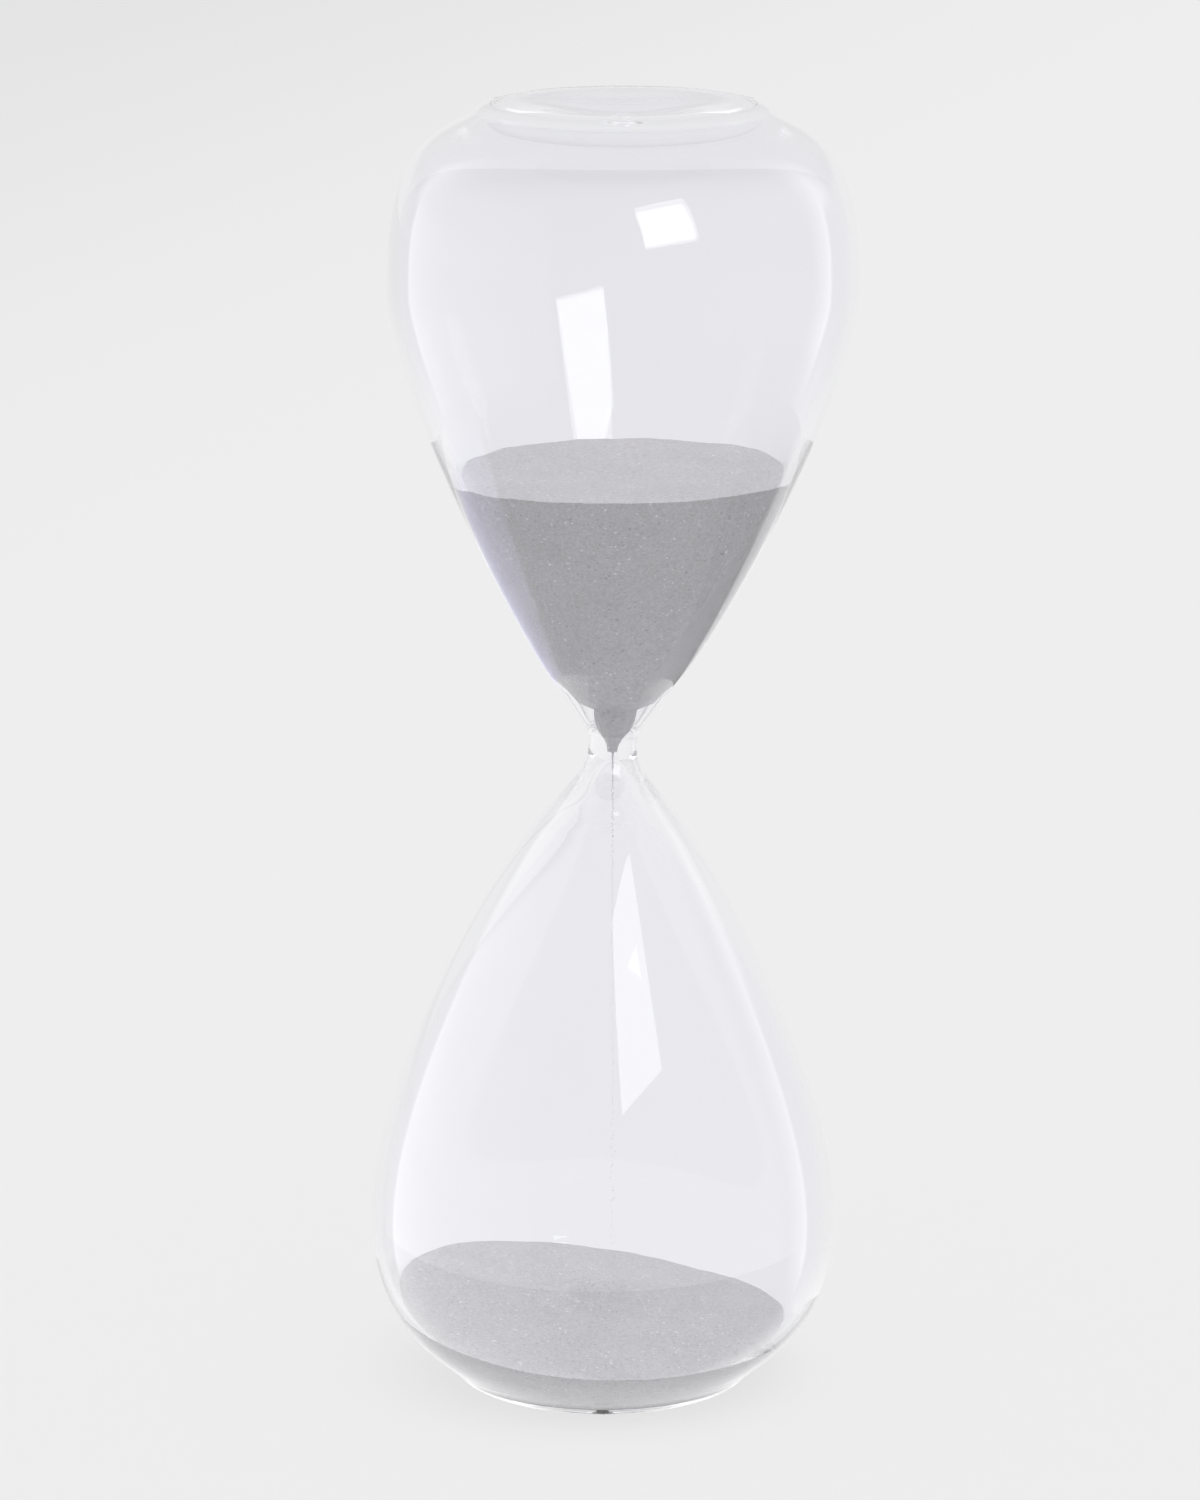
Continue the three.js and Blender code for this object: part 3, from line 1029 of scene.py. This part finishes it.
def studio():
    """Even light, strongest from overhead; the glass sees white all round it and mirrors panels."""
    world = bpy.data.worlds.new("studio")
    bpy.context.scene.world = world
    world.use_nodes = True
    tree = world.node_tree
    nodes, links = tree.nodes, tree.links
    nodes.clear()
    place = nodes.new("ShaderNodeTexCoord")
    axes = nodes.new("ShaderNodeSeparateXYZ")
    links.new(place.outputs["Generated"], axes.inputs["Vector"])
    up = maths(tree, "MAXIMUM", axes.outputs["Z"], 0.0)
    overhead = maths(tree, "MULTIPLY", maths(tree, "POWER", up, 2.0), SKY_TOP)
    overhead = maths(tree, "ADD", overhead, SKY_EVEN)
    share = round_the_room(tree, axes)
    high = step_over(tree, axes.outputs["Z"], *BACKDROP_TOP)
    level_row, high_row = room_row(tree, share, ROOM), room_row(tree, share, ROOM_HIGH)
    mirrored = blended(tree, high, level_row, high_row, "RGBA")
    deep = step_over(tree, axes.outputs["Z"], *TABLE_DEPTH)
    mirrored = blended(tree, deep, room_row(tree, share, ROOM_DEEP), mirrored, "RGBA")
    ceiling = step_over(tree, axes.outputs["Z"], *PANEL_TOP)
    mirrored = blended(tree, ceiling, mirrored, (CEILING,) * 3 + (1,), "RGBA")
    path = nodes.new("ShaderNodeLightPath")
    seen = maths(tree, "MAXIMUM", path.outputs["Is Camera Ray"], path.outputs["Is Transmission Ray"])
    spent = maths(tree, "GREATER_THAN", path.outputs["Ray Depth"], LONGEST_PATH)
    seen = maths(tree, "MAXIMUM", seen, spent)
    light = blended(tree, path.outputs["Is Glossy Ray"], overhead, mirrored, "RGBA")
    light = blended(tree, seen, light, (STUDIO_WHITE,) * 3 + (1,), "RGBA")
    shine = nodes.new("ShaderNodeBackground")
    links.new(light, shine.inputs["Color"])
    out = nodes.new("ShaderNodeOutputWorld")
    links.new(shine.outputs["Background"], out.inputs["Surface"])
    scene = bpy.context.scene
    scene.view_settings.view_transform = "Standard"
    scene.cycles.use_denoising = True
    scene.cycles.max_bounces = 40
    scene.cycles.glossy_bounces = 32
    scene.cycles.transmission_bounces = 32
    scene.cycles.transparent_max_bounces = 32
    scene.cycles.caustics_reflective = False
    scene.cycles.caustics_refractive = False


LAMP_PLACE = Vector((0.280, -0.720, 0.635))
LAMP_FACES = Vector((-0.66, 0.72, -0.30))
LAMP_SIZE = (0.410, 0.430)
LAMP_RADIANCE = 3.2


def softbox():
    """The lamp at the front right, which the glass mirrors."""
    light = bpy.data.lights.new("softbox", "AREA")
    light.shape = "RECTANGLE"
    light.size, light.size_y = LAMP_SIZE
    light.energy = LAMP_RADIANCE * math.pi * light.size * light.size_y
    holder = bpy.data.objects.new("softbox", light)
    bpy.context.scene.collection.objects.link(holder)
    holder.location = LAMP_PLACE
    holder.rotation_euler = (-LAMP_FACES).to_track_quat("Z", "Y").to_euler()
    holder.visible_camera = False
    holder.visible_diffuse = False


DRUM_RADIUS = 0.125
DRUM_HEIGHT = WAIST_Z + 6 * MM
LID_HOLE = 16 * MM  # where the neck passes through the lid
LID_EDGE = (0.106, 0.034)  # the radius where the lid's low row softly becomes the deep row


def drum():
    """A ring of paper round the lower bulb, with a lid at the waist, that only mirrors see.

    From inside it adds a glow to what lies behind it, so that the lower bulb's reflections are
    brighter than the upper bulb's. From outside, its lid is the table that the upper bulb mirrors.
    """
    material, nodes, links = new_material("paper_drum")
    tree = material.node_tree
    place = nodes.new("ShaderNodeTexCoord")
    axes = nodes.new("ShaderNodeSeparateXYZ")
    links.new(place.outputs["Object"], axes.inputs["Vector"])
    share = round_the_room(tree, axes)
    from_axis = nodes.new("ShaderNodeVectorMath")
    from_axis.operation = "LENGTH"
    links.new(place.outputs["Object"], from_axis.inputs[0])
    out_to = from_axis.outputs["Value"]
    clear = nodes.new("ShaderNodeBsdfTransparent")
    outer = step_over(tree, out_to, *LID_EDGE)
    low_row, deep_row = room_row(tree, share, ROOM_LOW), room_row(tree, share, ROOM_DEEP)
    table = blended(tree, outer, low_row, deep_row, "RGBA")
    lid = nodes.new("ShaderNodeEmission")
    links.new(table, lid.inputs["Color"])
    glow = nodes.new("ShaderNodeEmission")
    links.new(room_row(tree, share, DRUM_GLOW), glow.inputs["Color"])
    inside = nodes.new("ShaderNodeAddShader")
    links.new(glow.outputs["Emission"], inside.inputs[0])
    links.new(clear.outputs["BSDF"], inside.inputs[1])
    facing = nodes.new("ShaderNodeNewGeometry")
    sides = nodes.new("ShaderNodeMixShader")
    links.new(facing.outputs["Backfacing"], sides.inputs["Fac"])
    links.new(lid.outputs["Emission"], sides.inputs[1])
    links.new(inside.outputs["Shader"], sides.inputs[2])
    holed = nodes.new("ShaderNodeMixShader")
    links.new(maths(tree, "GREATER_THAN", out_to, LID_HOLE), holed.inputs["Fac"])
    links.new(clear.outputs["BSDF"], holed.inputs[1])
    links.new(sides.outputs["Shader"], holed.inputs[2])
    out = nodes.new("ShaderNodeOutputMaterial")
    links.new(holed.outputs["Shader"], out.inputs["Surface"])
    bpy.ops.object.select_all(action="DESELECT")
    bpy.ops.mesh.primitive_circle_add(
        vertices=96, radius=DRUM_RADIUS, fill_type="NGON", location=(0, 0, DRUM_HEIGHT)
    )
    top = bpy.context.object
    top.name = "paper_lid"
    bpy.ops.mesh.primitive_cylinder_add(
        vertices=96,
        radius=DRUM_RADIUS,
        depth=DRUM_HEIGHT,
        end_fill_type="NOTHING",
        location=(0, 0, DRUM_HEIGHT / 2),
    )
    wall = bpy.context.object
    wall.name = "paper_wall"
    for part in (top, wall):
        for ray in ("camera", "diffuse", "transmission", "shadow", "volume_scatter"):
            setattr(part, "visible_" + ray, False)
        part.data.materials.append(material)


# The upper bulb's back wall mirrors the lamp, and this flag of white card hides it from the
# lower bulb's back wall.
FLAG_PLACE = Vector((0.054, -0.150, 0.135))
FLAG_HALF = (0.075, 0.105)


def flag():
    material, nodes, links = new_material("white_flag")
    white = nodes.new("ShaderNodeEmission")
    white.inputs["Strength"].default_value = STUDIO_WHITE
    out = nodes.new("ShaderNodeOutputMaterial")
    links.new(white.outputs["Emission"], out.inputs["Surface"])
    bpy.ops.object.select_all(action="DESELECT")
    bpy.ops.mesh.primitive_plane_add(size=2, location=FLAG_PLACE, rotation=(math.pi / 2, 0, 0))
    card = bpy.context.object
    card.name = "white_flag"
    card.scale = (*FLAG_HALF, 1)
    for ray in ("camera", "diffuse", "glossy", "shadow", "volume_scatter"):
        setattr(card, "visible_" + ray, False)
    card.data.materials.append(material)


# ---- Assembly ------------------------------------------------------------------------------

camera()
floor()
studio()
softbox()
drum()
flag()

lower_bulb()
neck_throat()
fill_seal(*upper_bulb())
lower_sand()
upper_sand()
sand_stream()
